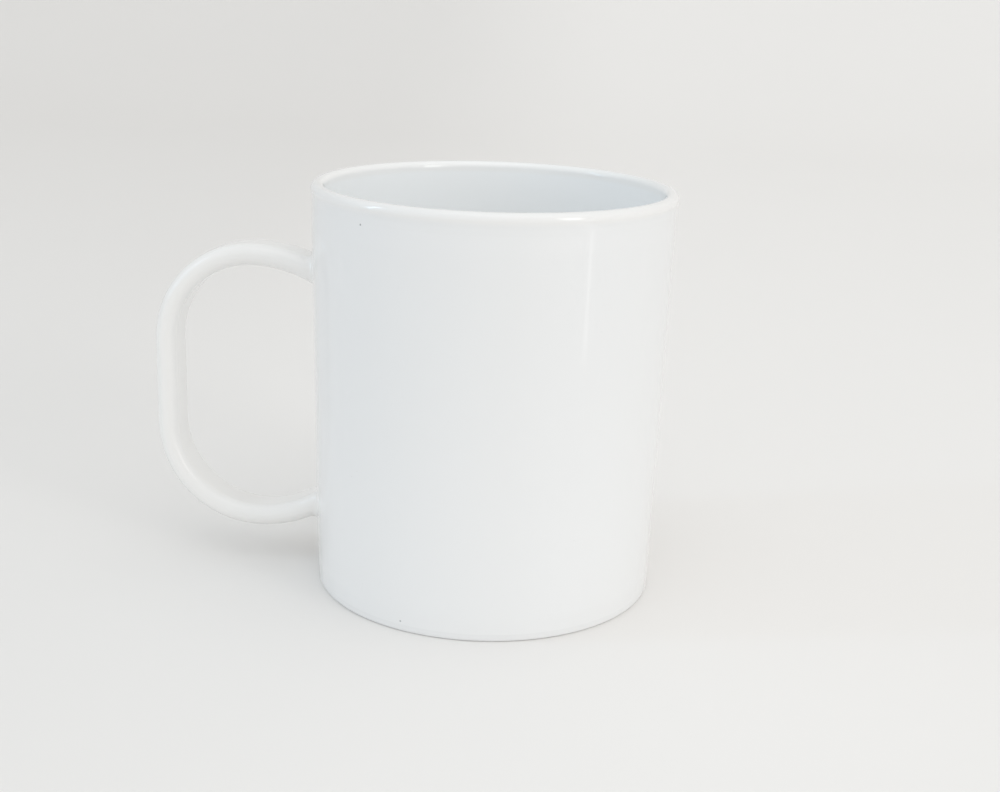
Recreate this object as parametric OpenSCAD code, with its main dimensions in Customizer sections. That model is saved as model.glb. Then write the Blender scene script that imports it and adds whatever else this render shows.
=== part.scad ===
// White moulded mug blank for sublimation printing: a cup, a loop handle and the
// hard clear coat that takes the print.
// Frame: +Z up, origin on the cup's axis at the plane it stands on, handle along -X.

/* [Cup] */
// Height from the table to the top of the lip
cup_h = 95; // [75:0.5:130]
// Outer diameter at the lip, the widest place
mouth_d = 83.5; // [70:0.5:110]
// Outer diameter at the foot
base_d = 79.8; // [65:0.1:105]
// Thickness of the side wall
wall_t = 2.7; // [1.8:0.1:4.5]
// Thickness of the floor
floor_t = 3; // [2:0.1:6]
// Radius of the corner inside, between wall and floor
floor_r = 6; // [2:0.5:12]

/* [Lip] */
// How far the full-round lip stands proud of the wall below it
lip_swell = 0.3; // [0.1:0.05:0.5]
// Radius of the hollow that blends the lip into the wall
lip_blend_r = 6; // [2:0.5:12]

/* [Foot] */
// Width of the ring that the cup stands on
foot_w = 3.2; // [2:0.1:8]
// Depth of the recess inside the ring
foot_recess = 1; // [0.4:0.1:3]
// Rounding of the bottom outer edge
foot_edge_r = 0.7; // [0.3:0.1:1.5]

/* [Handle] */
// Room for the fingers, from the wall to the inside of the grip
finger_gap = 34.9; // [28:0.1:45]
// Distance from the top of the lip down to the top of the handle
handle_drop = 16.4; // [8:0.2:24]
// Height of the handle's lowest point above the table
handle_rise = 8.4; // [4:0.2:14]
// Width of the bar, seen from outside
bar_w = 10.6; // [7:0.2:16]
// Thickness of the bar, from its inner face to its outer face
bar_t = 5.2; // [4:0.1:8]
// Rounding of the bar's outer edges, at most half the bar's thickness
bar_outer_r = 2.4; // [0.6:0.1:2.6]
// Rounding of the bar's inner edges, at most half the bar's thickness
bar_inner_r = 2.2; // [0.4:0.1:2.6]
// Radius of the two big corners, at the middle of the bar
corner_r = 22; // [14:0.5:23]
// Degrees that the upper arm turns down between its highest point and the wall
arm_fall = 26.9; // [10:0.1:40]
// Degrees that the lower arm turns up between its lowest point and the wall
arm_climb = 34.5; // [10:0.1:45]
// Radius of the hollows that blend the arms into the wall, above and below
root_r = 2; // [0.8:0.1:3]

/* [Coat] */
// Thickness of the print coat
coat_t = 0.15; // [0.1:0.05:0.3]
// Bare strip between the coat and whatever it stops at
coat_gap = 0.3; // [0.2:0.1:1]

/* [Hidden] */
$fn = 128;

past = 1;                               // how far a cut runs past what it cuts
bite = 0.005;                           // overlap that keeps a blend from only touching
recess_draft = 0.5;                     // how far the recess narrows for each unit of its depth

mouth_r = mouth_d / 2;
base_r = base_d / 2;
lip_r = (wall_t + lip_swell) / 2;       // the lip is flush with the wall inside
lip_x = mouth_r - lip_r;                // centre of the lip's round
lip_z = cup_h - lip_r;
floor_z = foot_recess + floor_t;        // top of the floor

// Outer radius of the side wall at height z: a straight taper.
function wall_r(z) = base_r + (mouth_r - lip_swell - base_r) * z / lip_z;
// Inner radius of the side wall at height z.
function bore_r(z) = wall_r(z) - wall_t;
wall_lean = atan((wall_r(lip_z) - wall_r(0)) / lip_z);
wall_side = [cos(wall_lean), -sin(wall_lean)];          // straight out from the wall

// Centre of a round of radius r that touches the side wall from outside, level with height z.
function outside(r, z) = [wall_r(z) + r / cos(wall_lean), z];
// How far above the point [x, z] that centre is when it is reach away from it, on its
// upper (up = 1) or lower (up = -1) side.
function blend_rise(r, reach, x, z, up) =
    let (run = (outside(r, z).x - x) * cos(wall_lean))
    cos(wall_lean) * up * sqrt(reach * reach - run * run) - sin(wall_lean) * run;

// The hollow under the lip touches the lip's round and the wall.
lip_blend_z = lip_z + blend_rise(lip_blend_r, lip_r + lip_blend_r, lip_x, lip_z, -1);
lip_blend_at = outside(lip_blend_r, lip_blend_z);

// Handle: the two corners share one distance from the axis.
corner_x = wall_r(cup_h / 2) + finger_gap + bar_t / 2 - corner_r;
corner_top_z = cup_h - handle_drop - bar_t / 2 - corner_r;
corner_low_z = handle_rise + bar_t / 2 + corner_r;

// The arms are arcs that start level above or below the corners' centres.
upper_run = corner_x - wall_r(corner_top_z + corner_r);
lower_run = corner_x - wall_r(corner_low_z - corner_r);
upper_arm_r = upper_run / sin(arm_fall);
lower_arm_r = lower_run / sin(arm_climb);
// Turn that carries an arm on into the wall by the bar's thickness.
function arm_turn(turn, radius) = turn + asin(bar_t / radius);
upper_arc_z = corner_top_z + corner_r - upper_arm_r;    // centres of the arms' arcs
lower_arc_z = corner_low_z - corner_r + lower_arm_r;
upper_root_z = upper_arc_z + upper_arm_r * cos(arm_fall);        // where the arms' middles
lower_root_z = lower_arc_z - lower_arm_r * cos(arm_climb);       // meet the wall
edge_limit = bar_t / 2 - 0.1;                           // roundings stop short of the bar's middle
outer_edge_r = min(bar_outer_r, edge_limit);
inner_edge_r = min(bar_inner_r, edge_limit);
root_reach = bar_t / 2 + root_r;                        // from an arm's middle to a blend's centre

// Height of the centre of a root's blend. The loop bends up = 1 or down = -1 from the arm's arc
// centre to the arm; out is 1 on the arm's outer face and -1 on its inner face.
function root_blend_z(arc_z, arm_r, bends, out) =
    arc_z + blend_rise(root_r, arm_r + out * root_reach, corner_x, arc_z, bends);

WHITE = [0.93, 0.94, 0.95];
HANDLE_WHITE = [0.95, 0.95, 0.94];
COAT_WHITE = [0.90, 0.93, 0.96];

// ---- cup ----

module cup_outline() {
    edge_at = outside(-foot_edge_r, foot_edge_r);
    polygon([[0, 0], [edge_at.x, 0], edge_at, edge_at + foot_edge_r * wall_side,
             [wall_r(lip_z), lip_z], [0, lip_z]]);
    translate(edge_at) circle(r = foot_edge_r);
}

module cup_hollow() {
    corner_at = outside(-floor_r, floor_z + floor_r) - [wall_t, 0];
    polygon([[0, floor_z], [corner_at.x, floor_z], corner_at, corner_at + floor_r * wall_side,
             [bore_r(lip_z), lip_z], [bore_r(lip_z), cup_h + past], [0, cup_h + past]]);
    translate(corner_at) circle(r = floor_r);
}

module foot_hollow() {
    ring_x = base_r - foot_w;
    polygon([[0, -past], [ring_x + recess_draft * past, -past],
             [ring_x - recess_draft * foot_recess, foot_recess], [0, foot_recess]]);
}

module lip_blend() {
    difference() {
        polygon([[lip_x, lip_z], [lip_x, lip_blend_z + (lip_blend_at.x - lip_x) * tan(wall_lean)],
                 lip_blend_at]);
        translate(lip_blend_at) circle(r = lip_blend_r + bite);
    }
}

module cup() {
    color(WHITE) rotate_extrude() {
        difference() {
            cup_outline();
            cup_hollow();
            foot_hollow();
        }
        translate([lip_x, lip_z]) circle(r = lip_r);
        lip_blend();
    }
}

// ---- handle ----

// Half of the bar's section on one side of its middle, with corners of radius r.
module half_section(r) {
    translate([0, r - bar_w / 2]) square([bar_t / 2, bar_w - 2 * r]);
    translate([0, -bar_w / 2]) square([bar_t / 2 - r, bar_w]);
    for (side = [-1, 1]) translate([bar_t / 2 - r, side * (bar_w / 2 - r)]) circle(r = r);
}

// The bar's section: +X is the outside of the loop.
module bar_section() {
    half_section(outer_edge_r);
    mirror([1, 0]) half_section(inner_edge_r);
}

module bend(radius, from, turn) {
    rotate_extrude(angle = turn, start = from) translate([radius, 0]) bar_section();
}

module upper_half() {
    translate([-corner_x, corner_top_z, 0]) bend(corner_r, 90, 90);
    turn = arm_turn(arm_fall, upper_arm_r);
    translate([-corner_x, upper_arc_z, 0]) bend(upper_arm_r, 90 - turn, turn);
}

module lower_half() {
    translate([-corner_x, corner_low_z, 0]) bend(corner_r, 180, 90);
    translate([-corner_x, lower_arc_z, 0])
        bend(lower_arm_r, 270, arm_turn(arm_climb, lower_arm_r));
}

// The whole loop, before the wall cuts its ends.
module loop_bar() {
    rotate([90, 0, 0]) {
        upper_half();
        lower_half();
    }
    translate([-corner_x - corner_r, 0, corner_low_z]) mirror([1, 0, 0])
        linear_extrude(corner_top_z - corner_low_z) bar_section();
}

// Blend between the wall and one face of an arm.
module root_blend(arc_z, arm_r, root_z, bends, out) {
    seat = outside(root_r, root_blend_z(arc_z, arm_r, bends, out));
    share = arm_r / (arm_r + out * root_reach);         // of the way from the arc's centre to seat
    on_arm = [corner_x, arc_z] + share * (seat - [corner_x, arc_z]);
    in_wall = seat - (root_r + wall_t) * wall_side;
    edge_r = out > 0 ? outer_edge_r : inner_edge_r;
    mirror([1, 0, 0]) rotate([90, 0, 0]) linear_extrude(bar_w - 2 * edge_r, center = true)
        difference() {
            polygon([seat, in_wall, [in_wall.x, root_z], on_arm]);
            translate(seat) circle(r = root_r + bite);
        }
}

module wall_solid() {
    cylinder(h = lip_z, r1 = wall_r(0), r2 = wall_r(lip_z));
}

module handle() {
    color(HANDLE_WHITE) difference() {
        union() {
            loop_bar();
            for (out = [-1, 1]) {
                root_blend(upper_arc_z, upper_arm_r, upper_root_z, 1, out);
                root_blend(lower_arc_z, lower_arm_r, lower_root_z, -1, out);
            }
        }
        wall_solid();
    }
}

// ---- print coat ----

// Opening in the coat round one root and its blends.
module root_window(arc_z, arm_r, bends) {
    touch = root_r * sin(wall_lean);                    // from a blend's centre up to its seat
    low = root_blend_z(arc_z, arm_r, bends, -bends) + touch - coat_gap;
    high = root_blend_z(arc_z, arm_r, bends, bends) + touch + coat_gap;
    wide = bar_w + 2 * coat_gap;
    translate([-corner_x, -wide / 2, low]) cube([corner_x, wide, high - low]);
}

module print_coat() {
    low = foot_edge_r + coat_gap;
    high = lip_blend_z - coat_gap;
    color(COAT_WHITE) difference() {
        rotate_extrude()
            polygon([[wall_r(low), low], [wall_r(low) + coat_t, low],
                     [wall_r(high) + coat_t, high], [wall_r(high), high]]);
        root_window(upper_arc_z, upper_arm_r, 1);
        root_window(lower_arc_z, lower_arm_r, -1);
    }
}

cup();
handle();
print_coat();
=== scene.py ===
"""White mug blank for sublimation printing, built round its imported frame.

The cup, its loop handle and the clear print coat are meshed here, given their materials and
set on a pale sweep in soft daylight. Lengths are metres, +Z is up, the handle points along -X.
"""

import math

import bmesh
import bpy
from mathutils import Matrix, Vector


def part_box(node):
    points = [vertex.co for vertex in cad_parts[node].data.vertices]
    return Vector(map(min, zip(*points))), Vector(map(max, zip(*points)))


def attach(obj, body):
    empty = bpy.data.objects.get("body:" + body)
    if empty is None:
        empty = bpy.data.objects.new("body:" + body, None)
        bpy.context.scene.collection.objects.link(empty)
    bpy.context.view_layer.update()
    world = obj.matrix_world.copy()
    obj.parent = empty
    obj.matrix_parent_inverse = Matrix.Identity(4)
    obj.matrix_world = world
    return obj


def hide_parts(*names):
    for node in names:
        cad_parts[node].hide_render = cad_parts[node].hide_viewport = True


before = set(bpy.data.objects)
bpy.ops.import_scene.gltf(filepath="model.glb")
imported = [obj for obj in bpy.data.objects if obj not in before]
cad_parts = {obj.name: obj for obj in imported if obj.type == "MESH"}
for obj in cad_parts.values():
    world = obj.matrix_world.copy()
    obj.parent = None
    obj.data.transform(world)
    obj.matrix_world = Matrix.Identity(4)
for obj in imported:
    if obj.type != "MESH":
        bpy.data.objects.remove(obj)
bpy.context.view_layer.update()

bl_info = {
    "name": "Sublimation Mug",
    "version": (1, 0, 0),
    "blender": (4, 5, 0),
    "location": "View3D > Sidebar > Mug",
    "description": "Builds a white print mug, its materials and a small daylight studio",
    "category": "Add Mesh",
}

MM = 0.001
BODY = "root"
TURNS = 384  # faces round a revolved piece
MUG_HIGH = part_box("cup")[1]
BAR_LOW, BAR_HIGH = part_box("handle")
COAT_LOW, COAT_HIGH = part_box("print_coat")


def cad_radius(node, low, high):
    """Widest distance from the cup's axis to a CAD node's points between two heights."""
    points = [v.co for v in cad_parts[node].data.vertices]
    return max(p.xy.length for p in points if low <= p.z <= high)


# ---------------------------------------------------------------------------------------
# Sizes and colours that a user would change
# ---------------------------------------------------------------------------------------


def length(name, description, default):
    """A length property in metres."""
    return bpy.props.FloatProperty(
        name=name,
        description=description,
        default=default,
        min=0.0,
        precision=5,
        subtype="DISTANCE",
        unit="LENGTH",
    )


def rotation(name, description, degrees):
    """An angle property, given in degrees."""
    return bpy.props.FloatProperty(
        name=name,
        description=description,
        default=math.radians(degrees),
        min=0.0,
        subtype="ANGLE",
        unit="ROTATION",
    )


def colour(name, description, default):
    """A colour property without alpha."""
    return bpy.props.FloatVectorProperty(
        name=name,
        description=description,
        default=default,
        size=3,
        min=0.0,
        max=1.0,
        subtype="COLOR",
    )


class MugSizes(bpy.types.PropertyGroup):
    """Sizes of the mug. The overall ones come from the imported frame."""

    height: length("Height", "From the table to the top of the lip", MUG_HIGH.z)
    mouth_width: length("Mouth", "Outer width at the lip", 2 * MUG_HIGH.x)
    base_width: length(
        "Base", "Outer width at the foot", 2 * cad_radius("cup", 0, MM)
    )
    wall: length("Wall", "Thickness of the side wall", 2.7 * MM)
    floor: length("Floor", "Thickness of the floor", 3 * MM)
    floor_round: length("Floor corner", "Rounding inside, between wall and floor", 6 * MM)
    lip_swell: length("Lip swell", "How far the lip stands proud of the wall", 0.3 * MM)
    lip_blend: length("Lip blend", "Radius of the hollow under the lip", 6 * MM)
    foot_ring: length("Foot ring", "Width of the ring that the mug stands on", 3.2 * MM)
    foot_recess: length("Foot recess", "Depth of the recess inside the ring", 1 * MM)
    foot_round: length("Foot edge", "Rounding of the bottom outer edge", 0.7 * MM)
    bar_thickness: length("Bar thickness", "Handle bar, inner to outer face", 5.2 * MM)
    bar_outer_round: length("Outer rounding", "Rounding of the bar's outer edges", 2.4 * MM)
    bar_inner_round: length("Inner rounding", "Rounding of the bar's inner edges", 2.2 * MM)
    corner_round: length("Handle corner", "Radius of the handle's big corners", 22 * MM)
    arm_fall: rotation("Upper arm fall", "Turn of the upper arm down towards the wall", 26.9)
    arm_climb: rotation("Lower arm climb", "Turn of the lower arm up towards the wall", 34.5)
    root_blend: length("Root blend", "Radius where the arms grow out of the wall", 2 * MM)
    coat: length("Coat", "Thickness of the print coat", 0.15 * MM)


class MugColours(bpy.types.PropertyGroup):
    """Colours of the mug and of the sweep that it stands on."""

    # The inside white is painted light: a lighter, bluer copy of the moulding's white that stands
    # in for the light inside the cup.
    inside: colour("Inside", "White of the cup's inside", (0.938, 0.96, 0.969))
    outside: colour("Outside", "White of the wall and the foot", (0.822, 0.832, 0.838))
    bare: colour("Bare white", "White of the handle and the lip", (0.903, 0.893, 0.874))
    speck: colour("Specks", "Dark grains caught in the coat", (0.16, 0.17, 0.18))
    scuff: colour("Scuffs", "Rubbed foot ring", (0.62, 0.62, 0.61))
    sweep: colour("Sweep", "Pale paper under and behind the mug", (0.882, 0.867, 0.848))


# ---------------------------------------------------------------------------------------
# Outlines: (radius, height) or (out, up) pairs
# ---------------------------------------------------------------------------------------


def eased_line(start, end, steps):
    """Points from start towards end, closer together near both, without the end itself."""
    start, end = Vector(start), Vector(end)
    shares = [(1 - math.cos(math.pi * k / steps)) / 2 for k in range(steps)]
    return [start.lerp(end, share) for share in shares]


def arc(centre, radius, first, last, steps):
    """Points on an arc between two angles in degrees, both ends included."""
    angles = [math.radians(first + (last - first) * k / steps) for k in range(steps + 1)]
    return [Vector(centre) + radius * Vector((math.cos(a), math.sin(a))) for a in angles]


def unit(angle):
    """Unit vector at an angle in degrees."""
    return Vector((math.cos(math.radians(angle)), math.sin(math.radians(angle))))


class Wall:
    """The side wall: a straight taper from the base up to the lip."""

    def __init__(self, sizes):
        self.lip_round = (sizes.wall + sizes.lip_swell) / 2
        self.lip = Vector((sizes.mouth_width / 2 - self.lip_round, sizes.height - self.lip_round))
        self.base = sizes.base_width / 2
        self.slope = (sizes.mouth_width / 2 - sizes.lip_swell - self.base) / self.lip.y
        self.lean = math.degrees(math.atan(self.slope))

    def radius(self, z):
        """Outer radius at height z."""
        return self.base + self.slope * z

    def gap(self, point, skin):
        """How far a point is from the wall's outside, less a skin on the wall."""
        side = Vector(point).xy.length - self.radius(point[2])
        return side * math.cos(math.radians(self.lean)) - skin

    def outside(self, r, z):
        """Centre of a round of radius r that touches the wall from outside at about height z."""
        return Vector((self.radius(z) + r / math.cos(math.radians(self.lean)), z))

    def blend_centre(self, r, reach, place):
        """Centre of such a round below a place and reach away from it."""
        lean = math.radians(self.lean)
        run = (self.outside(r, place.y).x - place.x) * math.cos(lean)
        rise = -math.cos(lean) * math.sqrt(reach * reach - run * run) - math.sin(lean) * run
        return self.outside(r, place.y + rise)


def cup_outline(sizes):
    """The cup's section from the axis inside, over the lip and down to the axis underneath."""
    wall = Wall(sizes)
    floor_z = sizes.foot_recess + sizes.floor
    corner_z = floor_z + sizes.floor_round
    corner = wall.outside(-sizes.floor_round, corner_z) - Vector((sizes.wall, 0))
    blend = wall.blend_centre(sizes.lip_blend, wall.lip_round + sizes.lip_blend, wall.lip)
    blend_turn = math.degrees(math.atan2(blend.y - wall.lip.y, blend.x - wall.lip.x))
    foot = wall.outside(-sizes.foot_round, sizes.foot_round)
    ring_x = wall.base - sizes.foot_ring
    ring_round, recess_round = 0.4 * MM, 0.6 * MM
    gate_dish, gate_pip, gate_depth = 4.5 * MM, 1.1 * MM, 0.35 * MM
    side_turn = 26.0

    inside = arc(corner, sizes.floor_round, -90, -wall.lean, 12)
    lip = arc(wall.lip, wall.lip_round, 180, blend_turn, 32)
    hollow = arc(blend, sizes.lip_blend, 180 + blend_turn, 180 - wall.lean, 8)
    foot_edge = arc(foot, sizes.foot_round, -wall.lean, -90, 10)
    ring_edge = arc((ring_x + ring_round, ring_round), ring_round, -90, -180 + side_turn, 6)
    ring_side = unit(180 - 90 + side_turn)
    rounded = (ring_round + recess_round) * (1 - math.sin(math.radians(side_turn)))
    climb = (sizes.foot_recess - rounded) / ring_side.y
    recess_edge_start = ring_edge[-1] + ring_side * climb
    recess_centre = recess_edge_start - recess_round * unit(side_turn)
    recess_edge = arc(recess_centre, recess_round, side_turn, 90, 6)
    recess_z = recess_edge[-1].y
    dish_z = recess_z + gate_depth

    outline = eased_line((0, floor_z), inside[0], 10) + inside[:-1]
    outline += eased_line(inside[-1], lip[0], 26) + lip[:-1]
    outline += hollow[:-1]
    outline += eased_line(hollow[-1], foot_edge[0], 30) + foot_edge[:-1]
    outline += eased_line(foot_edge[-1], ring_edge[0], 5) + ring_edge[:-1]
    outline += eased_line(ring_edge[-1], recess_edge[0], 3) + recess_edge[:-1]
    outline += eased_line(recess_edge[-1], (gate_dish, recess_z), 10)
    outline += eased_line((gate_dish, recess_z), (gate_dish - gate_depth, dish_z), 4)
    outline += eased_line((gate_dish - gate_depth, dish_z), (gate_pip, dish_z), 5)
    outline += eased_line((gate_pip, dish_z), (gate_pip - gate_depth / 4, recess_z), 4)
    outline += eased_line((gate_pip - gate_depth / 4, recess_z), (0, recess_z), 3)
    return outline + [Vector((0, recess_z))]


# ---------------------------------------------------------------------------------------
# Meshes
# ---------------------------------------------------------------------------------------


def link(name, data):
    """Wraps a mesh, lamp or camera in an object and puts it in the scene."""
    item = bpy.data.objects.new(name, data)
    bpy.context.scene.collection.objects.link(item)
    return item


def smooth_object(name, mesh, material):
    """Puts a finished bmesh in the scene as a smooth object."""
    for face in mesh.faces:
        face.smooth = True
    data = bpy.data.meshes.new(name)
    mesh.to_mesh(data)
    mesh.free()
    data.materials.append(material)
    return link(name, data)


def new_piece(name, mesh, material, node):
    """Puts a closed bmesh in the scene as a piece that stands for a CAD node."""
    bmesh.ops.recalc_face_normals(mesh, faces=mesh.faces)
    piece = smooth_object(name, mesh, material)
    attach(piece, BODY)
    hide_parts(node)


def bridge(mesh, ring, other, closed=True):
    """Joins two rows of vertices with quads."""
    count = len(ring)
    for k in range(count if closed else count - 1):
        n = (k + 1) % count
        mesh.faces.new((ring[k], ring[n], other[n], other[k]))


def fan(mesh, ring, centre):
    """Closes a ring with triangles round one vertex."""
    tip = mesh.verts.new(centre)
    for k, vertex in enumerate(ring):
        mesh.faces.new((vertex, ring[(k + 1) % len(ring)], tip))


def revolve(outline):
    """A bmesh turned round the Z axis from an outline that starts and ends on the axis."""
    mesh = bmesh.new()
    spokes = [unit(360 * k / TURNS) for k in range(TURNS)]
    rings = [
        [mesh.verts.new((p.x * s.x, p.x * s.y, p.y)) for s in spokes]
        for p in outline[1:-1]
    ]
    for ring, other in zip(rings, rings[1:]):
        bridge(mesh, ring, other)
    fan(mesh, rings[0], (0, 0, outline[0].y))
    fan(mesh, rings[-1], (0, 0, outline[-1].y))
    return mesh


def smooth_step(value):
    """0 below 0, 1 above 1 and an even curve between."""
    t = min(1.0, max(0.0, value))
    return t * t * (3 - 2 * t)


class Handle:
    """The loop: two arms on arcs, two big corners and a straight grip, all in the plane y = 0."""

    arm_steps, corner_steps, grip_steps, blend_steps = 14, 22, 12, 12
    round_steps, flat_steps = 8, 8  # round the bar's section
    widest_turn, halvings = 80, 40  # of the search for an arm's end, in degrees and steps

    def __init__(self, sizes):
        self.sizes = sizes
        self.wall = Wall(sizes)
        self.half = sizes.bar_thickness / 2
        self.corner = sizes.corner_round
        self.middle = -BAR_LOW.x - self.half - self.corner
        self.top = BAR_HIGH.z - self.half
        self.low = BAR_LOW.z + self.half
        self.section = self.bar_section()

    def bar_section(self):
        """(u, v) points round the bar with their normals; u points out of the loop."""
        sizes, half_width = self.sizes, BAR_HIGH.y
        crown, side_crown = 0.3 * MM, 0.25 * MM
        corners = [
            (self.half, half_width, sizes.bar_outer_round, 0),
            (-self.half, half_width, sizes.bar_inner_round, 90),
            (-self.half, -half_width, sizes.bar_inner_round, 180),
            (self.half, -half_width, sizes.bar_outer_round, 270),
        ]
        arcs = []
        for u, v, r, turn in corners:
            centre = (math.copysign(abs(u) - r, u), math.copysign(abs(v) - r, v))
            arcs.append(arc(centre, r, turn, turn + 90, self.round_steps))
        points = []
        for k, bend in enumerate(arcs):
            following = arcs[(k + 1) % len(arcs)][0]
            points += bend + eased_line(bend[-1], following, self.flat_steps)[1:]
        shaped = []
        for p in points:
            u = p.x - crown * (p.y / half_width) ** 2 * max(0.0, p.x / self.half)
            v = p.y * (1 - side_crown / half_width * (u / self.half) ** 2)
            shaped.append(Vector((u, v)))
        found = []
        for k, p in enumerate(shaped):
            along = shaped[(k + 1) % len(shaped)] - shaped[k - 1]
            found.append((p, Vector((along.y, -along.x)).normalized()))
        return found

    def place(self, centre_z, radius, angle, point):
        """Where a section point lies when its bar is at an angle on an arc, and its radial."""
        out = unit(angle)
        side = self.middle + (radius + point.x) * out.x
        return Vector((-side, point.y, centre_z + (radius + point.x) * out.y)), out

    def arm(self, end_z, turn, start):
        """Height of the centre and radius of an arm's arc that starts level at start degrees."""
        radius = (self.middle - self.wall.radius(end_z)) / math.sin(turn)
        sign = 1 if start > 0 else -1
        return end_z - sign * radius, radius

    def root_angle(self, centre_z, radius, start, point, normal):
        """Angle on the arm at which a blend's ball rests on both the bar and the wall."""
        ball = self.sizes.root_blend
        away, into = start, start + math.copysign(self.widest_turn, start)
        for _ in range(self.halvings):
            angle = (away + into) / 2
            spot, out = self.place(centre_z, radius, angle, point)
            spot += ball * Vector((-normal.x * out.x, normal.y, normal.x * out.y))
            if self.wall.gap(spot, self.sizes.coat) > ball:
                away = angle
            else:
                into = angle
        return (away + into) / 2

    def arm_rings(self, end_z, turn, start):
        """Rings from a corner to inside the wall."""
        centre_z, radius = self.arm(end_z, turn, start)
        ball = self.sizes.root_blend
        sunk = self.sizes.coat + ball / 5
        columns = []
        for point, normal in self.section:
            last = self.root_angle(centre_z, radius, start, point, normal)
            column = []
            for k in range(1, self.arm_steps + 1):
                angle = start + (last - start) * k / self.arm_steps
                column.append(self.place(centre_z, radius, angle, point)[0])
            out = unit(last)
            on_bar = Vector((-normal.x * out.x, normal.y, normal.x * out.y))
            ball_at = column[-1] + ball * on_bar
            from_wall = Vector((ball_at.x, ball_at.y, 0)).normalized()
            for k in range(1, self.blend_steps + 1):
                column.append(ball_at - ball * on_bar.slerp(from_wall, k / self.blend_steps))
            column.append(column[-1] - from_wall * sunk)
            columns.append(column)
        return [list(ring) for ring in zip(*columns)]

    def corner_rings(self, centre_z, first, last):
        """Rings round a big corner, both ends included."""
        angles = [
            first + (last - first) * k / self.corner_steps
            for k in range(self.corner_steps + 1)
        ]
        return [
            [self.place(centre_z, self.corner, a, p)[0] for p, _ in self.section] for a in angles
        ]

    def rings(self):
        """All the rings from inside the wall above to inside the wall below."""
        top_z, low_z = self.top - self.corner, self.low + self.corner
        upper = self.arm_rings(self.top, self.sizes.arm_fall, 90)
        lower = self.arm_rings(self.low, self.sizes.arm_climb, -90)
        upper_corner = self.corner_rings(top_z, 90, 0)
        lower_corner = self.corner_rings(low_z, 0, -90)
        grip = []
        for k in range(1, self.grip_steps):
            share = k / self.grip_steps
            pairs = zip(upper_corner[-1], lower_corner[0])
            grip.append([a.lerp(b, share) for a, b in pairs])
        return upper[::-1] + upper_corner + grip + lower_corner + lower

    def build(self):
        mesh = bmesh.new()
        rings = [[mesh.verts.new(p) for p in ring] for ring in self.rings()]
        for ring, other in zip(rings, rings[1:]):
            bridge(mesh, ring, other)
        for ring in (rings[0], rings[-1]):
            middle = sum((v.co for v in ring), Vector()) / len(ring)
            fan(mesh, ring, middle)
        return mesh


def coat_mesh(sizes):
    """A thin shell on the wall that feathers out under the lip and at the foot."""
    wall = Wall(sizes)
    feather, sunk, depth = 5 * MM, 0.01 * MM, 0.2 * MM
    rows = 150
    top, low = COAT_HIGH.z, COAT_LOW.z
    mesh = bmesh.new()
    spokes = [unit(360 * k / TURNS) for k in range(TURNS)]
    outer = []
    for place in eased_line((0, low), (0, top), rows) + [Vector((0, top))]:
        edge = min(place.y - low, top - place.y)
        thick = (sizes.coat + sunk) * smooth_step(edge / feather) - sunk
        radius = wall.radius(place.y) + thick
        outer.append([mesh.verts.new((radius * s.x, radius * s.y, place.y)) for s in spokes])
    inner = []
    for z in (low, top):
        radius = wall.radius(z) - depth
        inner.append([mesh.verts.new((radius * s.x, radius * s.y, z)) for s in spokes])
    for ring, other in zip(outer, outer[1:]):
        bridge(mesh, ring, other)
    bridge(mesh, inner[0], outer[0])
    bridge(mesh, outer[-1], inner[1])
    bridge(mesh, inner[1], inner[0])
    return mesh


# ---------------------------------------------------------------------------------------
# Materials
# ---------------------------------------------------------------------------------------


class Number:
    """A number socket that grows Math nodes when it is used in a sum."""

    def __init__(self, recipe, socket):
        self.recipe, self.socket = recipe, socket

    def _math(self, operation, *terms):
        return self.recipe.add("ShaderNodeMath", {"operation": operation}, dict(enumerate(terms)))

    def __add__(self, other):
        return self._math("ADD", self, other)

    def __sub__(self, other):
        return self._math("SUBTRACT", self, other)

    def __rsub__(self, other):
        return self._math("SUBTRACT", other, self)

    def __mul__(self, other):
        return self._math("MULTIPLY", self, other)

    __radd__ = __add__

    def above(self, edge, width):
        """0 below an edge, 1 above edge + width, smooth between."""
        settings = {"interpolation_type": "SMOOTHSTEP", "clamp": True}
        values = {"Value": self, "From Min": edge, "From Max": edge + width}
        return self.recipe.add("ShaderNodeMapRange", settings, values)


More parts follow.
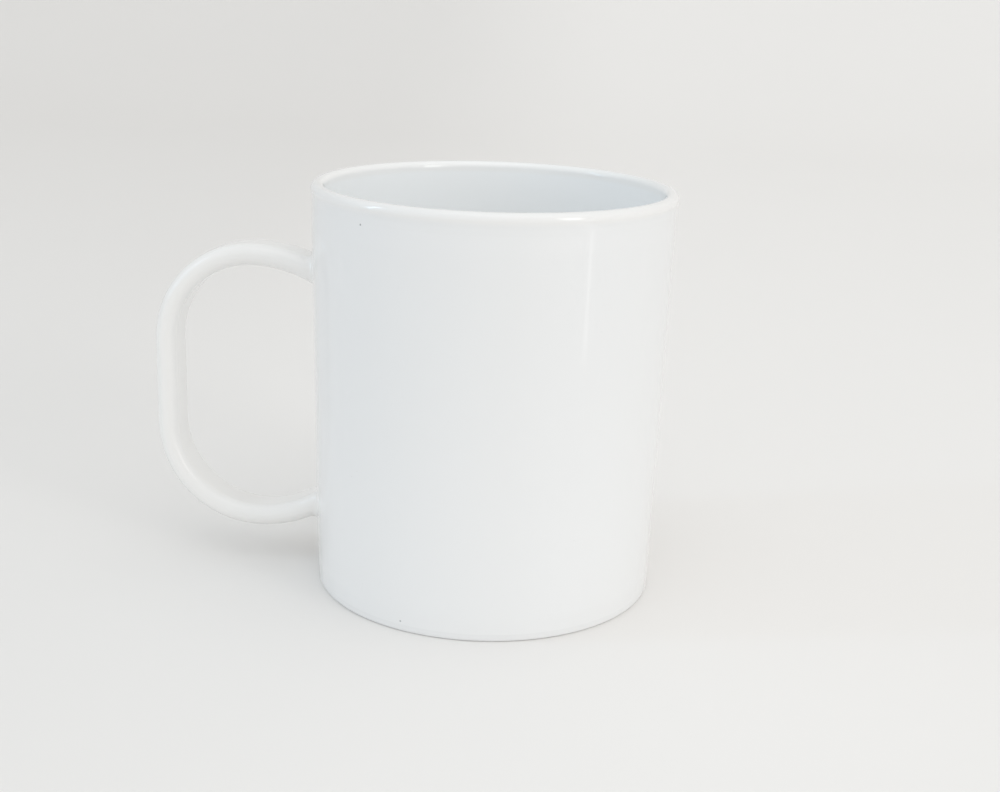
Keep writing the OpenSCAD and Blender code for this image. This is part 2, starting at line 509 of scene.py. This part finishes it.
class Recipe:
    """The node tree of a material or a world. add() makes every node."""

    def __init__(self, owner):
        self.owner = owner
        owner.use_nodes = True
        self.tree = owner.node_tree
        self.tree.nodes.clear()

    def add(self, kind, settings=None, sockets=None, output=0):
        """A node with its settings set first, then its sockets' values or links."""
        node = self.tree.nodes.new(kind)
        for key, value in (settings or {}).items():
            setattr(node, key, value)
        for key, value in (sockets or {}).items():
            if isinstance(value, Number):
                self.tree.links.new(value.socket, node.inputs[key])
            else:
                node.inputs[key].default_value = value
        return None if output is None else Number(self, node.outputs[output])

    def place(self):
        """The piece's own coordinates, in metres."""
        return self.add("ShaderNodeTexCoord", output="Object")

    def part(self, vector, axis):
        """One part of a vector: X, Y or Z."""
        return self.add("ShaderNodeSeparateXYZ", None, {0: vector}, axis)

    def noise(self, size, detail=2.0, roughness=0.5, stretch=(1, 1, 1)):
        """Noise from 0 to 1 whose lumps are about size metres across."""
        where = self.add(
            "ShaderNodeVectorMath", {"operation": "MULTIPLY"}, {0: self.place(), 1: stretch}
        )
        sockets = {"Vector": where, "Scale": 1 / size, "Detail": detail, "Roughness": roughness}
        return self.add("ShaderNodeTexNoise", None, sockets)

    def mix(self, share, first, second):
        """Blend of two colours."""
        a, b = (c if isinstance(c, Number) else (*c, 1.0) for c in (first, second))
        return self.add(
            "ShaderNodeMix", {"data_type": "RGBA"}, {"Factor": share, 6: a, 7: b}, 2
        )

    def near(self, spot, radius):
        """1 inside a ball round a spot on the piece, 0 well outside it."""
        distance = self.add(
            "ShaderNodeVectorMath", {"operation": "DISTANCE"}, {0: self.place(), 1: spot}, "Value"
        )
        return 1 - distance.above(radius * 0.5, radius)

    def bump(self, height, distance, normal=None):
        """A Bump node for a height in metres."""
        sockets = {"Height": height, "Distance": distance, "Strength": 1.0}
        if normal:
            sockets["Normal"] = normal
        return self.add("ShaderNodeBump", None, sockets)

    def finish(self, **sockets):
        """The surface shader, with constants on its own sockets."""
        named = {key.replace("_", " "): value for key, value in sockets.items()}
        shader = self.add("ShaderNodeBsdfPrincipled", None, named)
        self.add("ShaderNodeOutputMaterial", None, {"Surface": shader}, None)
        return self.owner


def shade(base, factor):
    """A colour made darker or lighter."""
    return tuple(c * factor for c in base)


def painted_light_inside_share(recipe, wall, thickness):
    """1 on the cup's inside, which gets a painted-light white, 0 on its outside."""
    flat = recipe.add(
        "ShaderNodeVectorMath", {"operation": "MULTIPLY"}, {0: recipe.place(), 1: (1, 1, 0)}
    )
    radius = recipe.add("ShaderNodeVectorMath", {"operation": "LENGTH"}, {0: flat}, "Value")
    edge = recipe.part(recipe.place(), "Z") * wall.slope + (wall.base - thickness)
    return 1 - (radius - edge).above(0, thickness * 0.6)


def lip_share(recipe, wall):
    """1 on the lip's round, 0 below it."""
    low = wall.lip.y - wall.lip_round
    return recipe.part(recipe.place(), "Z").above(low, 0.8 * wall.lip_round)


PLASTIC_IOR = 1.5
SHEEN = 0.6  # weight of the glossy layer over the plastic


def cloudy_white(recipe, base, clouds, streaks, weight):
    """The base colour, faintly lighter and darker where clouds and streaks run."""
    return recipe.mix(
        clouds * weight + streaks * (1 - weight), shade(base, 0.98), shade(base, 1.005)
    )


def moulded_white(name, base, scuff, zones=()):
    """Gloss white moulded plastic: faint clouding, orange peel, a rubbed foot ring.

    Each zone is a function from the recipe to a share, and the white that rules there.
    """
    recipe = Recipe(bpy.data.materials.new(name))
    clouds = recipe.noise(18 * MM, 3.0)
    flow = recipe.noise(6 * MM, 2.0, stretch=(1, 1, 0.12))
    rub = recipe.noise(1.2 * MM, 4.0, 0.65)
    ring = 1 - recipe.part(recipe.place(), "Z").above(0.02 * MM, 0.12 * MM)
    worn = ring * rub.above(0.42, 0.16)
    tone = cloudy_white(recipe, base, clouds, flow, 0.6)
    for share_of, white in zones:
        tone = recipe.mix(share_of(recipe), tone, white)
    tone = recipe.mix(worn * 0.6, tone, scuff)
    gloss = 0.13 + clouds * 0.05 + flow * 0.03 + worn * 0.4
    peel = recipe.bump(recipe.noise(1.6 * MM, 1.0), 0.0035 * MM)
    grain = recipe.bump(rub * worn, 0.03 * MM, peel)
    return recipe.finish(
        Base_Color=tone,
        Roughness=gloss,
        Normal=grain,
        IOR=PLASTIC_IOR,
        Coat_Weight=SHEEN,
        Coat_Roughness=0.04,
    )


def coated_white(base, speck, spots, height):
    """White under a hard clear coat: faint clouding, orange peel, dust, a few dark grains and
    painted light that makes it lighter towards the foot.
    """
    recipe = Recipe(bpy.data.materials.new("clear_print_coat"))
    clouds = recipe.noise(22 * MM, 3.0)
    streaks = recipe.noise(9 * MM, 2.0, stretch=(1, 1, 0.15))
    dust = recipe.noise(0.55 * MM, 1.0).above(0.79, 0.02)
    tone = cloudy_white(recipe, base, clouds, streaks, 0.5)
    # Painted light: the white is toned lighter towards the foot, standing in for light thrown up
    # off the floor.
    share = recipe.part(recipe.place(), "Z").above(0, height)
    tone = recipe.mix(share, shade(base, 1.035), tone)
    tone = recipe.mix(dust * 0.35, tone, shade(base, 0.8))
    for spot, radius, strength in spots:
        tone = recipe.mix(recipe.near(spot, radius) * strength, tone, speck)
    gloss = 0.10 + clouds * 0.04 + streaks * 0.03
    peel = recipe.bump(recipe.noise(2.2 * MM, 1.0), 0.004 * MM)
    grit = recipe.bump(dust, 0.01 * MM, peel)
    return recipe.finish(
        Base_Color=tone,
        Roughness=gloss,
        Normal=grit,
        IOR=PLASTIC_IOR,
        Coat_Weight=SHEEN,
        Coat_Roughness=0.03,
    )


def sweep_paper(base):
    """Matt pale paper with painted shade that makes it a little darker on the left, faint
    clouding and a fine tooth.
    """
    recipe = Recipe(bpy.data.materials.new("sweep_paper"))
    clouds = recipe.noise(160 * MM, 4.0)
    tooth = recipe.noise(0.7 * MM, 3.0)
    painted_shade_left, edge, width, slant = 0.895, -0.2, 0.26, 0.07
    across = recipe.part(recipe.place(), "X") + recipe.part(recipe.place(), "Y") * slant
    # Painted shade: the paper is toned darker on the left, where less light falls, and full white
    # to the right.
    tone = recipe.mix(across.above(edge, width), shade(base, painted_shade_left), base)
    tone = recipe.mix(clouds * 0.03, tone, shade(base, 0.5))
    normal = recipe.bump(tooth, 0.01 * MM)
    return recipe.finish(Base_Color=tone, Roughness=0.75, Normal=normal)


# ---------------------------------------------------------------------------------------
# Operators
# ---------------------------------------------------------------------------------------


class MUG_OT_cup(bpy.types.Operator):
    """Build the cup: side wall, floor, full-round lip and foot ring"""

    bl_idname = "mug.cup"
    bl_label = "Cup"

    def execute(self, context):
        sizes, colours = context.scene.mug_sizes, context.scene.mug_colours
        wall = Wall(sizes)
        zones = (
            # Painted light: the inside is given the lighter, bluer inside white.
            (lambda recipe: painted_light_inside_share(recipe, wall, sizes.wall), colours.inside),
            (lambda recipe: lip_share(recipe, wall) * 0.5, colours.bare),
        )
        material = moulded_white("moulded_white_cup", colours.outside, colours.scuff, zones)
        mesh = revolve(cup_outline(sizes))
        new_piece("cup_moulding", mesh, material, "cup")
        return {"FINISHED"}


# Dark grains in the coat: degrees round the axis, height, radius, strength.
GRAINS = (
    (235.8, 89.9 * MM, 0.24 * MM, 1.0),
    (251.3, 2.5 * MM, 0.22 * MM, 0.8),
)


class MUG_OT_coat(bpy.types.Operator):
    """Build the clear print coat on the outside of the wall"""

    bl_idname = "mug.coat"
    bl_label = "Print Coat"

    def execute(self, context):
        sizes, colours = context.scene.mug_sizes, context.scene.mug_colours
        wall = Wall(sizes)
        spots = []
        for turn, z, radius, strength in GRAINS:
            side = unit(turn) * (wall.radius(z) + sizes.coat)
            spots.append(((side.x, side.y, z), radius, strength))
        material = coated_white(colours.outside, colours.speck, spots, sizes.height)
        new_piece("print_coat_film", coat_mesh(sizes), material, "print_coat")
        return {"FINISHED"}


class MUG_OT_handle(bpy.types.Operator):
    """Build the loop handle with its roots flared into the wall"""

    bl_idname = "mug.handle"
    bl_label = "Handle"

    def execute(self, context):
        sizes, colours = context.scene.mug_sizes, context.scene.mug_colours
        material = moulded_white("moulded_white_handle", colours.bare, colours.scuff)
        new_piece("loop_handle", Handle(sizes).build(), material, "handle")
        return {"FINISHED"}


def sweep_mesh():
    """A sheet that lies flat just under the mug and curves up far behind it."""
    half_width, front, bend_at, bend, rise = 15.0, -15.0, 0.9, 0.8, 3.0
    low = -0.02 * MM
    edge = [Vector((front, low)), Vector((bend_at, low))]
    edge += arc((bend_at, bend + low), bend, -90, 0, 32)[1:]
    edge.append(Vector((bend_at + bend, rise)))
    mesh = bmesh.new()
    columns = [
        [mesh.verts.new((side * half_width, p.x, p.y)) for p in edge] for side in (-1, 1)
    ]
    bridge(mesh, columns[1], columns[0], closed=False)
    return mesh


# Name, azimuth, elevation, distance, width and height, power, tint.
LAMPS = (
    ("skylight", 40, 70, 4.0, (4.0, 4.0), 25.0, (1.0, 0.985, 0.965)),
    ("window_right", 55, 18, 1.3, (0.3, 0.75), 2.2, (1.0, 0.99, 0.97)),
    ("window_frame_right", 59.7, 7, 0.128, (0.005, 0.055), 0.0008, (1.0, 1.0, 1.0)),
    ("window_left", -72, 22, 0.8, (0.06, 0.42), 0.5, (0.55, 0.78, 1.0)),
)


def add_lamp(name, azimuth, elevation, distance, size, power, tint):
    """A rectangular lamp aimed at the mug. Azimuth 0 stands in front, 90 on the right."""
    aim = Vector((0, 0, MUG_HIGH.z / 2))
    a, e = math.radians(azimuth), math.radians(elevation)
    back = Vector((math.sin(a) * math.cos(e), -math.cos(a) * math.cos(e), math.sin(e)))
    lamp = bpy.data.lights.new(name, "AREA")
    lamp.shape, lamp.size, lamp.size_y = "RECTANGLE", *size
    lamp.energy, lamp.color = power, tint
    holder = link(name, lamp)
    holder.location = aim + back * distance
    holder.rotation_euler = (-back).to_track_quat("-Z", "Y").to_euler()


def daylight(strength, left, right):
    """A soft sky that turns from a cool left to a neutral right."""
    world = bpy.data.worlds.new("daylight")
    recipe = Recipe(world)
    where = recipe.add("ShaderNodeTexCoord", output="Generated")
    share = recipe.part(where, "X") * 0.5 + 0.5
    sky = {"Color": recipe.mix(share, left, right), "Strength": strength}
    background = recipe.add("ShaderNodeBackground", None, sky)
    recipe.add("ShaderNodeOutputWorld", None, {"Surface": background}, None)
    bpy.context.scene.world = world


def add_camera():
    """The camera stands a forearm away, a little above the lip and 8 degrees off the side."""
    azimuth, stand_off, height = 8.0, 0.3309, 0.142
    pitch, pan, roll = 16.38, 7.53, 1.97
    lens, film = 52.34, 36.0
    data = bpy.data.cameras.new("camera")
    data.lens, data.sensor_width = lens, film
    data.clip_start, data.clip_end = 0.01, 20
    camera = link("camera", data)
    a = math.radians(azimuth)
    place = Matrix.Translation((math.sin(a) * stand_off, -math.cos(a) * stand_off, height))
    turn = Matrix.Rotation(math.radians(pan), 4, "Z")
    tilt = Matrix.Rotation(math.radians(90 - pitch), 4, "X")
    lean = Matrix.Rotation(math.radians(roll), 4, "Z")
    camera.matrix_world = place @ turn @ tilt @ lean
    bpy.context.scene.camera = camera


class MUG_OT_stage(bpy.types.Operator):
    """Set up the paper sweep, the daylight, the lamps and the camera"""

    bl_idname = "mug.stage"
    bl_label = "Stage"

    def execute(self, context):
        paper = sweep_paper(context.scene.mug_colours.sweep)
        sweep = smooth_object("sweep", sweep_mesh(), paper)
        daylight(strength=0.82, left=(0.905, 0.955, 0.985), right=(1.0, 0.98, 0.955))
        for lamp in LAMPS:
            add_lamp(*lamp)
        add_camera()
        context.scene.view_settings.view_transform = "Standard"
        context.scene.view_settings.gamma = 1.2
        context.scene.cycles.use_denoising = True
        return {"FINISHED"}


class MUG_PT_panel(bpy.types.Panel):
    """Lists the mug's operators, sizes and colours"""

    bl_idname = "MUG_PT_panel"
    bl_label = "Sublimation Mug"
    bl_space_type = "VIEW_3D"
    bl_region_type = "UI"
    bl_category = "Mug"

    def draw(self, context):
        layout = self.layout
        for operator in OPERATORS:
            layout.operator(operator.bl_idname)
        for group in (context.scene.mug_sizes, context.scene.mug_colours):
            box = layout.box()
            for key in type(group).__annotations__:
                box.prop(group, key)


OPERATORS = (MUG_OT_cup, MUG_OT_coat, MUG_OT_handle, MUG_OT_stage)
CLASSES = (MugSizes, MugColours, *OPERATORS, MUG_PT_panel)


def register():
    for item in CLASSES:
        bpy.utils.register_class(item)
    bpy.types.Scene.mug_sizes = bpy.props.PointerProperty(type=MugSizes)
    bpy.types.Scene.mug_colours = bpy.props.PointerProperty(type=MugColours)


def unregister():
    del bpy.types.Scene.mug_colours
    del bpy.types.Scene.mug_sizes
    for item in reversed(CLASSES):
        bpy.utils.unregister_class(item)


def main():
    register()
    bpy.ops.mug.cup()
    bpy.ops.mug.coat()
    bpy.ops.mug.handle()
    bpy.ops.mug.stage()


if __name__ == "__main__":
    main()
